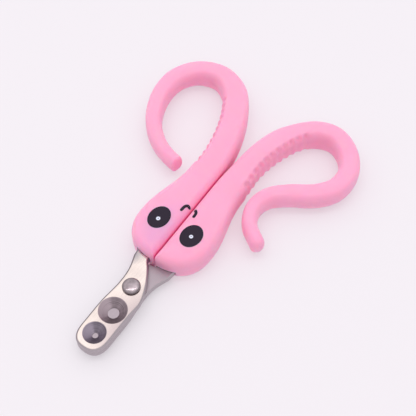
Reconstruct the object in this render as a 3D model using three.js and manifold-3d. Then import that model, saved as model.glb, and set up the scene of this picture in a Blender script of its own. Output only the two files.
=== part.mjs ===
// Scissor nail clipper: two moulded finger-loop handles, a plate with two claw holes, a sliding blade
// behind it, and the rivet that joins them. Millimetres, +Z up, lying flat and closed.
// The modelling frame has the rivet's axis at x = 0, y = 0, the handles towards +Y and the table at z = 0.
import * as THREE from "three";
import { mergeVertices } from "three/addons/utils/BufferGeometryUtils.js";
import Module from "manifold-3d";

const wasm = await Module();
wasm.setup();

// Clearances
const SEAM_GAP = 0.3; // between the two handles where they close on each other
const FIT_GAP = 0.3; // between any two other neighbours

// Handles: the head, which is the broad front part round the blade
const HANDLE_THICKNESS = 11.6;
const EDGE_ROUNDING = 3.0;
const CHIN_RADIUS = 1.4; // of the front corner beside the seam, seen from above
const CHIN_ROUNDING = 0.8; // of that corner's top and bottom edges
const CHIN_BLEND = 6; // distance from the corner at which its edges have the full rounding again
const HEAD_HALF_WIDTH = 16.1;
const HEAD_FRONT_Y = 13.0;
const HEAD_WIDEST_Y = 28.5;
const HEAD_FRONT_POWER = 2.5; // superellipse exponent of the front outline
const NECK_Y = 54;
const NECK_HALF_WIDTH = 12.0;

// Handles: the arms, which run from the neck round the finger loop to the tip of the tail
const ARM_REACH = 47;
const LOOP_THICKNESS = 9.0;
const TIP_THICKNESS = 7.8;
const THINNING = [0.42, 0.64, 0.8, 1]; // where on the arm the thickness changes
const RIB_COUNT = 11;
const RIB_DEPTH = 0.65;
const FLUTE_FADE = 0.8; // share of the depth that the flutes between the ribs lose towards the flat faces
const RIB_SPAN = [0.03, 0.335]; // stretch of the arm that carries the grip ribs
const TAIL_ROUNDING_SHARE = 0.42; // of the arm's width, where the arm is too slim for EDGE_ROUNDING

// The path of an arm's middle: [out, along], as shares of its sweep and of ARM_REACH
const LEFT_ARM = {
  side: -1,
  sweep: 38.6,
  neckWidth: 11.2,
  loopWidth: 8.6,
  tipWidth: 5.6,
  narrowing: [0.27, 0.48, 0.55, 1],
  tipLength: 1.9,
  tipPower: 4,
  path: [
    [0, 0],
    [0.005, 0.153],
    [0.041, 0.351],
    [0.101, 0.543],
    [0.199, 0.736],
    [0.355, 0.911],
    [0.596, 0.998],
    [0.839, 0.936],
    [0.982, 0.766],
    [0.995, 0.57],
    [0.922, 0.372],
    [0.788, 0.202],
    [0.601, 0.079],
    [0.43, 0.021],
    [0.347, 0.005],
  ],
};
const RIGHT_ARM = {
  side: 1,
  sweep: 34,
  neckWidth: 10.2,
  loopWidth: 8.2,
  tipWidth: 5.7,
  narrowing: [0.2, 0.34, 0.65, 1],
  tipLength: 2.4,
  tipPower: 2.4,
  path: [
    [0, 0],
    [0.003, 0.16],
    [0.012, 0.355],
    [0.071, 0.566],
    [0.182, 0.751],
    [0.379, 0.917],
    [0.612, 0.968],
    [0.841, 0.889],
    [0.991, 0.723],
    [0.982, 0.523],
    [0.824, 0.372],
    [0.588, 0.26],
    [0.406, 0.134],
    [0.353, -0.021],
    [0.429, -0.164],
    [0.624, -0.277],
  ],
};

// Blades
const UPPER_THICKNESS = 2.35;
const LOWER_THICKNESS = 2.0;
const LOWER_BOTTOM_Z = 2.35;
const LOWER_TOP_Z = LOWER_BOTTOM_Z + LOWER_THICKNESS;
const UPPER_BOTTOM_Z = LOWER_TOP_Z + FIT_GAP;
const UPPER_TOP_Z = UPPER_BOTTOM_Z + UPPER_THICKNESS;
const BLADE_CHAMFER = 0.35;
const BLADE_MIDDLE_X = 0.25;
const BLADE_HALF_WIDTH = 6.05;
const BLADE_TIP_Y = -28;
const TIP_RISE = 7.5; // how far back from the tip the blade reaches its full width
const TIP_POWER = 2.6;
const TANG_WIDTH = 5.8;
const TANG_ROOT = [4.7, HEAD_FRONT_Y - 0.7]; // where the neck becomes the tang: distance from the seam, y
const TANG_LENGTH = 24;
const TANG_LEAN = 2.7; // how much further from the seam the tang's end is than its root
const TANG_HOLE_RADIUS = 1.6;
const TANG_HOLE_SHARE = 0.72; // place of the anchoring hole along the tang
// Each blade's neck edge on the side away from its tang: [distance past the seam, y]
const UPPER_NECK = [
  [2, 7.2],
  [4.8, 2],
];
const LOWER_NECK = [
  [-0.4, HEAD_FRONT_Y - 0.6],
  [1.1, HEAD_FRONT_Y - 0.9],
  [2.3, 10.3],
  [3.3, 7],
  [4.9, 2],
];

// Claw holes in the upper blade: countersunk from above
const HOLE_LAND = 0.25; // straight stretch left at the bottom of each countersink
const CLAW_HOLES = [
  { y: -11.1, radius: 2.1, rimRadius: 5.3 },
  { y: -21.5, radius: 1.07, rimRadius: 4.27 },
];
const CLAW_HOLE_X = 0.2;

// Rivet and its washer
const SHANK_RADIUS = 1.5;
const RIVET_HEAD_RADIUS = 3.35;
const RIVET_HEAD_HEIGHT = 1.25;
const RIVET_HEAD_RIM = 0.35;
const TAIL_RADIUS = 2.2;
const TAIL_HEIGHT = 0.55;
const WASHER_RADIUS = 3.2;
const WASHER_THICKNESS = 0.5;

// Fineness of the meshes
const ROUNDING_STEPS = 3;
const FRONT_STEPS = 12;
const REAR_STEPS = 6;
const SEAM_STEPS = 3;
const OUTER_STEPS = 34;
const STEPS_PER_RIB = 4;
const PLAIN_STEPS = 24;
const TIP_STEPS = 6;
const CIRCLE_SEGMENTS = 48;

const handlePlastic = new THREE.MeshStandardMaterial({ color: 0xfdb2d3, roughness: 0.55, metalness: 0 });
const polishedSteel = new THREE.MeshStandardMaterial({ color: 0xe6e0dc, roughness: 0.2, metalness: 1 });
const groundSteel = new THREE.MeshStandardMaterial({ color: 0xb9b0b2, roughness: 0.4, metalness: 1 });
const rivetSteel = new THREE.MeshStandardMaterial({ color: 0xcfc9c9, roughness: 0.12, metalness: 1 });

const { lerp, smoothstep } = THREE.MathUtils;

// Booleans

function solid(geometry) {
  const bare = geometry.index ? geometry.toNonIndexed() : geometry.clone();
  bare.deleteAttribute("normal");
  bare.deleteAttribute("uv");
  const merged = mergeVertices(bare, 1e-4);
  return new wasm.Manifold(
    new wasm.Mesh({
      numProp: 3,
      vertProperties: merged.attributes.position.array,
      triVerts: new Uint32Array(merged.index.array),
    }),
  );
}

function geometryOf(manifold) {
  const mesh = manifold.getMesh();
  const geometry = new THREE.BufferGeometry();
  geometry.setAttribute("position", new THREE.BufferAttribute(mesh.vertProperties, 3));
  geometry.setIndex(new THREE.BufferAttribute(mesh.triVerts, 1));
  const flat = geometry.toNonIndexed();
  flat.computeVertexNormals();
  return flat;
}

// Triangles that fill a flat outline of plain points
function fillOutline(points) {
  const flat = points.map((p) => new THREE.Vector2(p.x, p.y));
  return THREE.ShapeUtils.triangulateShape(flat, []);
}

// A closed body from a counter-clockwise outline whose corners each have a place, an inward direction,
// a rounding, a flute depth, a lowest and a highest z. Its top and bottom edges are rounded, or chamfered
// when steps is 1. fill gives the triangles of the top from its points.
function roundedBody(corners, steps, fill = fillOutline) {
  const ring = (turn, top) =>
    corners.map((corner) => {
      const inset = corner.rounding * (1 - Math.cos(turn));
      const rise = corner.rounding * (1 - Math.sin(turn));
      const flute = corner.flute * (1 - FLUTE_FADE * Math.sin(turn));
      return new THREE.Vector3(
        corner.x + corner.inward.x * (inset + flute),
        corner.y + corner.inward.y * (inset + flute),
        top ? corner.top - rise : corner.bottom + rise,
      );
    });
  const turns = Array.from({ length: steps + 1 }, (_, i) => (i / steps) * (Math.PI / 2));
  const lower = turns.map((turn) => ring(turn, false)).reverse();
  const upper = turns.map((turn) => ring(turn, true));
  const rings = [...lower, ...upper];
  const positions = rings.flat().flatMap((p) => [p.x, p.y, p.z]);
  const count = corners.length;
  const index = [];
  for (let level = 0; level + 1 < rings.length; level++) {
    for (let i = 0; i < count; i++) {
      const next = (i + 1) % count;
      const low = level * count;
      const high = low + count;
      index.push(low + i, low + next, high + next, low + i, high + next, high + i);
    }
  }
  const last = (rings.length - 1) * count;
  for (const [a, b, c] of fill(rings[rings.length - 1])) {
    index.push(last + a, last + b, last + c);
    index.push(a, c, b);
  }
  const geometry = new THREE.BufferGeometry();
  geometry.setAttribute("position", new THREE.Float32BufferAttribute(positions, 3));
  geometry.setIndex(index);
  return geometry;
}

// Inward directions of a counter-clockwise outline of plain points
function inwardDirections(points) {
  return points.map((p, i) => {
    const before = points[(i + points.length - 1) % points.length];
    const after = points[(i + 1) % points.length];
    return new THREE.Vector2(before.y - after.y, after.x - before.x).normalize();
  });
}

// Handles

function threeStages(share, start, middle, end, stages) {
  const first = smoothstep(share, stages[0], stages[1]);
  const second = smoothstep(share, stages[2], stages[3]);
  return lerp(lerp(start, middle, first), end, second);
}

function armPath(arm) {
  const neckX = (NECK_HALF_WIDTH + SEAM_GAP / 2) / 2;
  const points = arm.path.map(
    ([out, along]) => new THREE.Vector3(arm.side * (neckX + out * arm.sweep), NECK_Y + along * ARM_REACH, 0),
  );
  return new THREE.CatmullRomCurve3(points, false, "centripetal");
}

function armWidth(arm, share) {
  const start = NECK_HALF_WIDTH - SEAM_GAP / 2;
  const neck = lerp(start, arm.neckWidth, smoothstep(share, 0, 0.12));
  return threeStages(share, neck, arm.loopWidth, arm.tipWidth, arm.narrowing);
}

function armThickness(share) {
  return threeStages(share, HANDLE_THICKNESS, LOOP_THICKNESS, TIP_THICKNESS, THINNING);
}

function ribFlute(share) {
  const phase = ((share - RIB_SPAN[0]) / (RIB_SPAN[1] - RIB_SPAN[0])) * RIB_COUNT;
  if (phase <= 0 || phase >= RIB_COUNT) return 0;
  return RIB_DEPTH * (0.5 - 0.5 * Math.cos(2 * Math.PI * phase));
}

function handleCorner(x, y, inward, rounding, thickness, flute) {
  const middle = HANDLE_THICKNESS / 2;
  return {
    x,
    y,
    inward,
    rounding: Math.min(rounding, 0.45 * thickness),
    flute,
    bottom: middle - thickness / 2,
    top: middle + thickness / 2,
  };
}

// One edge of the arm: edge is +1 for the side away from the seam, which carries the ribs, and -1 for the other
function armCorner(arm, path, share, edge) {
  const centre = path.getPointAt(share);
  const heading = path.getTangentAt(share);
  const out = new THREE.Vector2(heading.y, -heading.x).multiplyScalar(arm.side * edge);
  const half = armWidth(arm, share) / 2;
  const rounding = Math.min(EDGE_ROUNDING, 2 * half * TAIL_ROUNDING_SHARE);
  const inward = out.clone().negate();
  const flute = edge > 0 ? ribFlute(share) : 0;
  return handleCorner(
    centre.x + out.x * half,
    centre.y + out.y * half,
    inward,
    rounding,
    armThickness(share),
    flute,
  );
}

// The end of the tail, a half superellipse, from the edge beside the seam to the other one
function tipCorners(arm, path) {
  const centre = path.getPointAt(1);
  const heading = path.getTangentAt(1);
  const half = armWidth(arm, 1) / 2;
  const corners = [];
  for (let i = 1; i < TIP_STEPS; i++) {
    const turn = -Math.PI / 2 + (Math.PI * i) / TIP_STEPS;
    const ahead = arm.tipLength * Math.pow(Math.abs(Math.cos(turn)), 2 / arm.tipPower);
    const aside = half * Math.sign(Math.sin(turn)) * Math.pow(Math.abs(Math.sin(turn)), 2 / arm.tipPower);
    const x = centre.x + heading.x * ahead + heading.y * aside * arm.side;
    const y = centre.y + heading.y * ahead - heading.x * aside * arm.side;
    const inward = new THREE.Vector2(centre.x - x, centre.y - y).divideScalar(half);
    corners.push(handleCorner(x, y, inward, 2 * half * TAIL_ROUNDING_SHARE, TIP_THICKNESS, 0));
  }
  return corners;
}

// The head's outline on the +X side, from the neck forward round the front to the corner beside the seam
function headOutline() {
  const seam = SEAM_GAP / 2;
  const points = [];
  for (let i = 1; i <= REAR_STEPS; i++) {
    const share = 1 - i / REAR_STEPS;
    const swell = 0.5 + 0.5 * Math.cos(Math.PI * share);
    points.push([
      lerp(NECK_HALF_WIDTH, HEAD_HALF_WIDTH, swell),
      lerp(HEAD_WIDEST_Y, NECK_Y, share),
    ]);
  }
  for (let i = 1; i < FRONT_STEPS; i++) {
    const turn = (Math.PI / 2) * (i / FRONT_STEPS);
    points.push([
      seam + (HEAD_HALF_WIDTH - seam) * Math.pow(Math.cos(turn), 2 / HEAD_FRONT_POWER),
      HEAD_WIDEST_Y - (HEAD_WIDEST_Y - HEAD_FRONT_Y) * Math.pow(Math.sin(turn), 2 / HEAD_FRONT_POWER),
    ]);
  }
  for (let i = 0; i <= 3; i++) {
    const turn = (Math.PI / 2) * (i / 3);
    points.push([
      seam + CHIN_RADIUS * (1 - Math.sin(turn)),
      HEAD_FRONT_Y + CHIN_RADIUS * (1 - Math.cos(turn)),
    ]);
  }
  for (let i = 1; i <= SEAM_STEPS; i++) {
    points.push([seam, HEAD_FRONT_Y + lerp(CHIN_RADIUS, CHIN_BLEND, i / SEAM_STEPS)]);
  }
  return points;
}

// Corners of a handle, counter-clockwise, and the triangles that fill its top
function handleOutline(arm) {
  const path = armPath(arm);
  const besideShares = Array.from({ length: OUTER_STEPS + 1 }, (_, i) => i / OUTER_STEPS);
  const ribSteps = RIB_COUNT * STEPS_PER_RIB;
  const awayShares = [
    ...Array.from({ length: PLAIN_STEPS }, (_, i) => lerp(1, RIB_SPAN[1], i / PLAIN_STEPS)),
    ...Array.from({ length: ribSteps + 1 }, (_, i) => lerp(RIB_SPAN[1], RIB_SPAN[0], i / ribSteps)),
    0,
  ];
  const beside = besideShares.map((share) => armCorner(arm, path, share, -1));
  const tip = tipCorners(arm, path);
  const away = awayShares.map((share) => armCorner(arm, path, share, 1));
  const head = headCorners(arm, away[away.length - 1], beside[0]);
  const corners = [...beside, ...tip, ...away, ...head];

  const firstAway = beside.length + tip.length;
  const firstHead = firstAway + away.length;
  const fill = (points) => {
    const faces = [];
    let near = 0;
    let far = firstHead - 1;
    while (near < beside.length - 1 || far > firstAway) {
      const nearNext = near < beside.length - 1 ? besideShares[near + 1] : Infinity;
      const farNext = far > firstAway ? awayShares[far - 1 - firstAway] : Infinity;
      if (nearNext <= farNext) {
        faces.push([near, near + 1, far]);
        near += 1;
      } else {
        faces.push([near, far - 1, far]);
        far -= 1;
      }
    }
    for (let i = beside.length; i < firstAway; i++) faces.push([beside.length - 1, i, i + 1]);
    const headLoop = [firstHead - 1];
    for (let i = firstHead; i < points.length; i++) headLoop.push(i);
    headLoop.push(0);
    const turn = (face) => (arm.side > 0 ? [face[0], face[2], face[1]] : face);
    const headFaces = fillOutline(headLoop.map((i) => points[i])).map((face) => face.map((i) => headLoop[i]));
    return [...faces.map(turn), ...headFaces];
  };
  if (arm.side < 0) return { corners, fill };

  // The right handle's corners were made clockwise
  const mirrored = (i) => corners.length - 1 - i;
  const fillReversed = (points) => fill([...points].reverse()).map((face) => face.map(mirrored));
  return { corners: [...corners].reverse(), fill: fillReversed };
}

function headCorners(arm, before, after) {
  const head = headOutline().map(([x, y]) => new THREE.Vector2(x * arm.side, y));
  const inward = inwardDirections([before, ...head, after]);
  return head.map((p, i) => {
    const fromChin = Math.hypot(Math.abs(p.x) - SEAM_GAP / 2, p.y - HEAD_FRONT_Y);
    const rounding = lerp(CHIN_ROUNDING, EDGE_ROUNDING, smoothstep(fromChin, CHIN_RADIUS, CHIN_BLEND));
    const direction = inward[i + 1].multiplyScalar(-arm.side);
    return handleCorner(p.x, p.y, direction, rounding, HANDLE_THICKNESS, 0);
  });
}

// The tang's middle line, from the neck to the centre of its round end
function tangLine(side) {
  const root = new THREE.Vector2(side * TANG_ROOT[0], TANG_ROOT[1]);
  const end = new THREE.Vector2(side * (TANG_ROOT[0] + TANG_LEAN), TANG_ROOT[1] + TANG_LENGTH);
  const heading = end.clone().sub(root).normalize();
  return { root, end, heading };
}

// A straight strip with a round end: the tang grown by the fit gap, which starts in front of the handle
function tangShape(side, grow) {
  const { root, end, heading } = tangLine(side);
  const half = TANG_WIDTH / 2 + grow;
  const back = root.clone().addScaledVector(heading, -6);
  const angle = Math.atan2(heading.y, heading.x);
  const shape = new THREE.Shape();
  shape.moveTo(back.x + half * heading.y, back.y - half * heading.x);
  shape.lineTo(end.x + half * heading.y, end.y - half * heading.x);
  shape.absarc(end.x, end.y, half, angle - Math.PI / 2, angle + Math.PI / 2, false);
  shape.lineTo(back.x - half * heading.y, back.y + half * heading.x);
  shape.closePath();
  return shape;
}

function tangHoleCentre(side) {
  const { root, end } = tangLine(side);
  return root.lerp(end, TANG_HOLE_SHARE);
}

function uprightCylinder(x, y, radius, bottom, top) {
  const geometry = new THREE.CylinderGeometry(radius, radius, top - bottom, CIRCLE_SEGMENTS / 2);
  geometry.rotateX(Math.PI / 2);
  geometry.translate(x, y, (bottom + top) / 2);
  return geometry;
}

// The pocket that the tang fills, with the post that passes through the tang's hole left standing
function tangPocket(side, bottom, top) {
  const depth = top - bottom + 2 * FIT_GAP;
  const strip = new THREE.ExtrudeGeometry(tangShape(side, FIT_GAP), {
    depth,
    bevelEnabled: false,
    curveSegments: 8,
  });
  strip.translate(0, 0, bottom - FIT_GAP);
  const hole = tangHoleCentre(side);
  const post = uprightCylinder(hole.x, hole.y, TANG_HOLE_RADIUS - FIT_GAP, bottom - 1, top + 1);
  return solid(strip).subtract(solid(post));
}

function handleBody(arm, bladeBottom, bladeTop) {
  const { corners, fill } = handleOutline(arm);
  const body = solid(roundedBody(corners, ROUNDING_STEPS, fill));
  return geometryOf(body.subtract(tangPocket(arm.side, bladeBottom, bladeTop)));
}

// Blades

// The blade on the side of its tang, and on the other side, where its edge crosses over to the tang
function bladeOutline(side, neck) {
  const left = BLADE_MIDDLE_X - BLADE_HALF_WIDTH;
  const right = BLADE_MIDDLE_X + BLADE_HALF_WIDTH;
  const near = side < 0 ? left : right;
  const far = side < 0 ? right : left;
  const { root, end, heading } = tangLine(side);
  const half = TANG_WIDTH / 2;
  const nearRoot = [root.x + side * half * heading.y, root.y - side * half * heading.x];
  const farRoot = [root.x - side * half * heading.y, root.y + side * half * heading.x];
  const spline = (points, steps) =>
    new THREE.CatmullRomCurve3(
      points.map(([x, y]) => new THREE.Vector3(x, y, 0)),
      false,
      "centripetal",
    ).getSpacedPoints(steps);
  const fullWidthY = BLADE_TIP_Y + TIP_RISE;
  const nearEdge = spline(
    [
      [near, fullWidthY],
      [near, -10],
      [near - side * 0.75, -1],
      [near - side * 0.3, 5.5],
      nearRoot,
    ],
    12,
  );
  const farEdge = spline(
    [
      farRoot,
      ...neck.map(([past, y]) => [-side * past, y]),
      [far - side * 0.3, -3.5],
      [far, -10],
      [far, fullWidthY],
    ],
    18,
  );
  const tip = [];
  for (let i = 1; i < 16; i++) {
    const turn = (Math.PI * i) / 16;
    const across = Math.sign(Math.cos(turn)) * Math.pow(Math.abs(Math.cos(turn)), 2 / TIP_POWER);
    const ahead = Math.pow(Math.sin(turn), 2 / TIP_POWER);
    tip.push(new THREE.Vector3(lerp(near, far, 0.5 + 0.5 * across), fullWidthY - TIP_RISE * ahead, 0));
  }
  const tangEnd = [];
  const angle = Math.atan2(heading.y, heading.x);
  for (let i = 0; i <= 8; i++) {
    const turn = angle - side * (Math.PI / 2) + (side * Math.PI * i) / 8;
    tangEnd.push(new THREE.Vector3(end.x + half * Math.cos(turn), end.y + half * Math.sin(turn), 0));
  }
  const points = [...nearEdge, ...tangEnd, ...farEdge, ...tip];
  return side < 0 ? points.reverse() : points;
}

function bladeBody(side, neck, bottom, thickness) {
  const points = bladeOutline(side, neck);
  const inward = inwardDirections(points);
  const corners = points.map((p, i) => ({
    x: p.x,
    y: p.y,
    inward: inward[i],
    rounding: BLADE_CHAMFER,
    flute: 0,
    bottom,
    top: bottom + thickness,
  }));
  const hole = tangHoleCentre(side);
  const below = bottom - 1;
  const above = bottom + thickness + 1;
  return solid(roundedBody(corners, 1))
    .subtract(solid(uprightCylinder(hole.x, hole.y, TANG_HOLE_RADIUS, below, above)))
    .subtract(solid(uprightCylinder(0, 0, SHANK_RADIUS + FIT_GAP, below, above)));
}

// A countersink and the straight hole below it, as one turned cutter
function clawHoleCutter(hole) {
  const slope = (hole.rimRadius - hole.radius) / (UPPER_THICKNESS - HOLE_LAND);
  const profile = [
    [0, UPPER_BOTTOM_Z - 1],
    [hole.radius, UPPER_BOTTOM_Z - 1],
    [hole.radius, UPPER_BOTTOM_Z + HOLE_LAND],
    [hole.rimRadius + slope * 0.5, UPPER_TOP_Z + 0.5],
    [0, UPPER_TOP_Z + 0.5],
  ];
  return turned(profile, CLAW_HOLE_X, hole.y);
}

// A body turned about a vertical axis from [radius, z] points that start and end on the axis
function turned(profile, x, y) {
  const geometry = new THREE.LatheGeometry(
    profile.map(([radius, z]) => new THREE.Vector2(radius, z)),
    CIRCLE_SEGMENTS,
  );
  geometry.rotateX(Math.PI / 2);
  geometry.translate(x, y, 0);
  return geometry;
}

function upperBlade() {
  let blade = bladeBody(LEFT_ARM.side, UPPER_NECK, UPPER_BOTTOM_Z, UPPER_THICKNESS);
  for (const hole of CLAW_HOLES) blade = blade.subtract(solid(clawHoleCutter(hole)));
  return geometryOf(blade);
}

function lowerBlade() {
  return geometryOf(bladeBody(RIGHT_ARM.side, LOWER_NECK, LOWER_BOTTOM_Z, LOWER_THICKNESS));
}

// Pivot

const WASHER_TOP_Z = LOWER_BOTTOM_Z - FIT_GAP;
const WASHER_BOTTOM_Z = WASHER_TOP_Z - WASHER_THICKNESS;
const TAIL_TOP_Z = WASHER_BOTTOM_Z - FIT_GAP;

// Domed head, shank and the tail that is hammered out below the washer
function pivotRivet() {
  const headBottom = UPPER_TOP_Z + FIT_GAP;
  const profile = [
    [0, TAIL_TOP_Z - TAIL_HEIGHT],
    [TAIL_RADIUS * 0.8, TAIL_TOP_Z - TAIL_HEIGHT],
    [TAIL_RADIUS, TAIL_TOP_Z - TAIL_HEIGHT / 2],
    [TAIL_RADIUS, TAIL_TOP_Z],
    [SHANK_RADIUS, TAIL_TOP_Z],
    [SHANK_RADIUS, headBottom],
    [RIVET_HEAD_RADIUS, headBottom],
    [RIVET_HEAD_RADIUS, headBottom + RIVET_HEAD_RIM],
  ];
  const rise = RIVET_HEAD_HEIGHT - RIVET_HEAD_RIM;
  for (let i = 1; i <= 6; i++) {
    const turn = (Math.PI / 2) * (i / 6);
    profile.push([
      i < 6 ? RIVET_HEAD_RADIUS * Math.cos(turn) : 0,
      headBottom + RIVET_HEAD_RIM + rise * Math.sin(turn),
    ]);
  }
  return turned(profile, 0, 0);
}

function pivotWasher() {
  const inner = SHANK_RADIUS + FIT_GAP;
  const profile = [
    [inner, WASHER_BOTTOM_Z],
    [WASHER_RADIUS, WASHER_BOTTOM_Z],
    [WASHER_RADIUS, WASHER_TOP_Z],
    [inner, WASHER_TOP_Z],
    [inner, WASHER_BOTTOM_Z],
  ];
  return turned(profile, 0, 0);
}

// Assembly

function named(name, geometry, material) {
  const mesh = new THREE.Mesh(geometry, material);
  mesh.name = name;
  return mesh;
}

const clipper = new THREE.Group();
clipper.name = "scissor_nail_clipper";

const fixedHalf = new THREE.Group();
fixedHalf.add(
  named("right_handle", handleBody(RIGHT_ARM, LOWER_BOTTOM_Z, LOWER_TOP_Z), handlePlastic),
  named("lower_blade", lowerBlade(), groundSteel),
  named("pivot_rivet", pivotRivet(), rivetSteel),
  named("pivot_washer", pivotWasher(), rivetSteel),
);

const swingingHalf = new THREE.Group();
swingingHalf.add(
  named("left_handle", handleBody(LEFT_ARM, UPPER_BOTTOM_Z, UPPER_TOP_Z), handlePlastic),
  named("upper_blade", upperBlade(), polishedSteel),
);

clipper.add(fixedHalf, swingingHalf);

// The part's origin is the middle of its footprint, on the table
const footprint = new THREE.Box3().setFromObject(clipper);
clipper.position.set(
  -(footprint.min.x + footprint.max.x) / 2,
  -(footprint.min.y + footprint.max.y) / 2,
  -footprint.min.z,
);

export default clipper;
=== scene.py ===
"""Scissor nail clipper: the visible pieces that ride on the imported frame, the stage and the camera.

Sizes are in millimetres in the modelling frame, which has the rivet's axis at x = 0, y = 0, the handles
towards +Y and the table at z = 0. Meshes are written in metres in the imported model's own frame.
"""

import math

import bmesh
import bpy
import numpy as np
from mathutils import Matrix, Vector
from mathutils.bvhtree import BVHTree


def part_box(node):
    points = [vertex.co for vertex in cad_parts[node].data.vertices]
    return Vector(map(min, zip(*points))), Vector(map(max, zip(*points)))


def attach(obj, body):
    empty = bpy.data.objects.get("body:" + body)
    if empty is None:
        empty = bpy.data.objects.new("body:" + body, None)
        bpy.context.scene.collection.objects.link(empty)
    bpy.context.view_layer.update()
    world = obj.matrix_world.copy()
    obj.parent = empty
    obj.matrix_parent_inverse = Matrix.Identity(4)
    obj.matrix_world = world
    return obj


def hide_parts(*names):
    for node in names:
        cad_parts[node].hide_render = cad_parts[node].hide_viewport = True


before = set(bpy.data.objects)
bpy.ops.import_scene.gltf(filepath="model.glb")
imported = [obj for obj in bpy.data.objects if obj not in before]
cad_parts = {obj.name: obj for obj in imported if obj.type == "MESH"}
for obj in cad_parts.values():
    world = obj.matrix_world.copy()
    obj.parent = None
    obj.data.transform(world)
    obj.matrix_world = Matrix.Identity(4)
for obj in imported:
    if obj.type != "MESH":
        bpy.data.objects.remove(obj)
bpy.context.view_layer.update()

bl_info = {
    "name": "Scissor Nail Clipper",
    "version": (1, 0, 0),
    "blender": (4, 5, 0),
    "location": "View3D > Sidebar > Clipper",
    "description": "Builds the visible pieces of a scissor nail clipper on its packed frame",
    "category": "Object",
}

MM = 0.001

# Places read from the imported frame, in millimetres


def node_box(node):
    """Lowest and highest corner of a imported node, in millimetres."""
    low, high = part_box(node)
    return Vector(low) / MM, Vector(high) / MM


RIVET_LOW, RIVET_HIGH = node_box("pivot_rivet")
AXIS = (RIVET_LOW + RIVET_HIGH) / 2
LOWER_LOW, LOWER_HIGH = node_box("lower_blade")
UPPER_LOW, UPPER_HIGH = node_box("upper_blade")
HANDLE_LOW, HANDLE_HIGH = node_box("right_handle")
WASHER_LOW, WASHER_HIGH = node_box("pivot_washer")
HANDLE_THICKNESS = HANDLE_HIGH.z - HANDLE_LOW.z
MIDDLE_Z = (HANDLE_HIGH.z + HANDLE_LOW.z) / 2

# Clearances and the handles' head
SEAM = 0.05  # from the parting of the two handles to each of them
SEAM_SHIFT = 0.42  # how far the parting of the tops stands towards the fixed handle
SEAM_SHIFT_REACH = 8.0  # distance from the parting at which that shift has died away
FIT_GAP = 0.3
CUT_THROUGH = 1.0  # how far a cutter stands out of what it cuts
POCKET_OVERRUN = 6.0  # how far the pocket's cutter stands out of the chin
CHIN_RADIUS = 1.0
HEAD_HALF_WIDTH = 16.1
HEAD_FRONT_Y = 13.0
HEAD_WIDEST_Y = 28.5
HEAD_FRONT_POWER = 2.5
NECK_Y = 54.0
NECK_HALF_WIDTH = 12.0

# The handles' arms
ARM_REACH = 47.0
LOOP_THICKNESS = 9.0
TIP_THICKNESS = 7.8
THINNING = (0.34, 0.6, 0.8, 1.0)
RIB_COUNT = 11
RIB_SPAN = (0.022, 0.327)
TAIL_ROUNDING_SHARE = 0.42
MOST_OF_HALF_THICKNESS = 0.9
SHOULDER_STEPS = 11
CHIN_STEPS = 6
MITRE_CLEARANCE = 0.02
TOP_STEPS = 8
HEAD_FRONT_ROWS = 90
HEAD_BACK_ROWS = 60
ARM_ROWS = 220
ROWS_PER_RIB = 18
TIP_ROWS = 15
CURVE_STEPS = 40
HANDLE_SHARP_ANGLE = 60.0
RIB_CREST_POWER = 0.8

LEFT_ARM = {
    "side": -1,
    "sweep": 38.6,
    "neck_width": 11.2,
    "loop_width": 8.6,
    "tip_width": 5.6,
    "narrowing": (0.27, 0.48, 0.55, 1.0),
    "tip_length": 1.9,
    "tip_power": 3.0,
    "path": (
        (0, 0), (0.005, 0.153), (0.041, 0.351), (0.101, 0.543), (0.199, 0.736),
        (0.355, 0.911), (0.596, 0.998), (0.839, 0.936), (0.982, 0.766), (0.995, 0.57),
        (0.922, 0.372), (0.788, 0.202), (0.601, 0.079), (0.43, 0.021), (0.347, 0.005),
    ),
}
RIGHT_ARM = {
    "side": 1,
    "sweep": 34.0,
    "neck_width": 10.2,
    "loop_width": 8.2,
    "tip_width": 5.7,
    "narrowing": (0.2, 0.34, 0.65, 1.0),
    "tip_length": 2.4,
    "tip_power": 2.1,
    "path": (
        (0, 0), (0.003, 0.16), (0.012, 0.355), (0.071, 0.566), (0.182, 0.751),
        (0.379, 0.917), (0.612, 0.968), (0.841, 0.889), (0.991, 0.723), (0.982, 0.523),
        (0.824, 0.372), (0.588, 0.26), (0.406, 0.134), (0.353, -0.021), (0.429, -0.164),
        (0.624, -0.277),
    ),
}

LILAC_CENTRE = (-4.5, 24.0, 0.0)  # of the cast on the swinging half's chin
LILAC_REACH = (9.5, 17.0)  # across and along the seam
CREASE_EDGE = (0.15, 0.6)  # distances from the parting between which its painted shade, a deeper pink, fades
PAINTED_SHADE_REACH = 3.0  # distance from the parting at which its faint, wider painted shade ends
CREASE_LEVELS = (7.8, 8.3)  # heights between which the painted shade of the parting sets in

# Blades
BLADE_MIDDLE_X = 0.25
BLADE_HALF_WIDTH = 6.05
BLADE_TIP_Y = -28.0
BLADE_WAIST = ((0.0, -10.0), (0.75, -1.0), (0.3, 5.5))  # tang side: distance from the full width, y
BLADE_FLANK = ((0.3, -3.5), (0.0, -10.0))  # the same on the other side
TIP_RISE = 7.5
TIP_POWER = 2.6
TANG_WIDTHS = {-1: 5.8, 1: 6.6}  # of the swinging blade and the fixed one
TANG_ROOTS = {-1: (4.7, 12.3), 1: (5.1, 12.3)}
TANG_LENGTH = 24.0
TANG_LEAN = 2.7
TANG_HOLE_RADIUS = 1.6
TANG_HOLE_SHARE = 0.72
NECKS = {  # each blade's neck edge away from its tang: distance past the seam, y
    -1: ((2.0, 7.2), (4.8, 2.0)),
    1: ((-0.4, 12.75), (1.1, 12.45), (2.3, 10.5), (3.3, 7.0), (4.9, 2.0)),
}
SHANK_RADIUS = 1.5
CLAW_HOLE_X = 0.2
CLAW_HOLES = ((-11.1, 2.1, 5.3), (-21.5, 1.07, 4.27))  # y, radius, radius of the countersink's rim
HOLE_LAND = 0.06
SINK_MARGIN, SINK_LEVEL_MARGIN = 0.05, 0.02  # which faces count as a countersink's own
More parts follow.
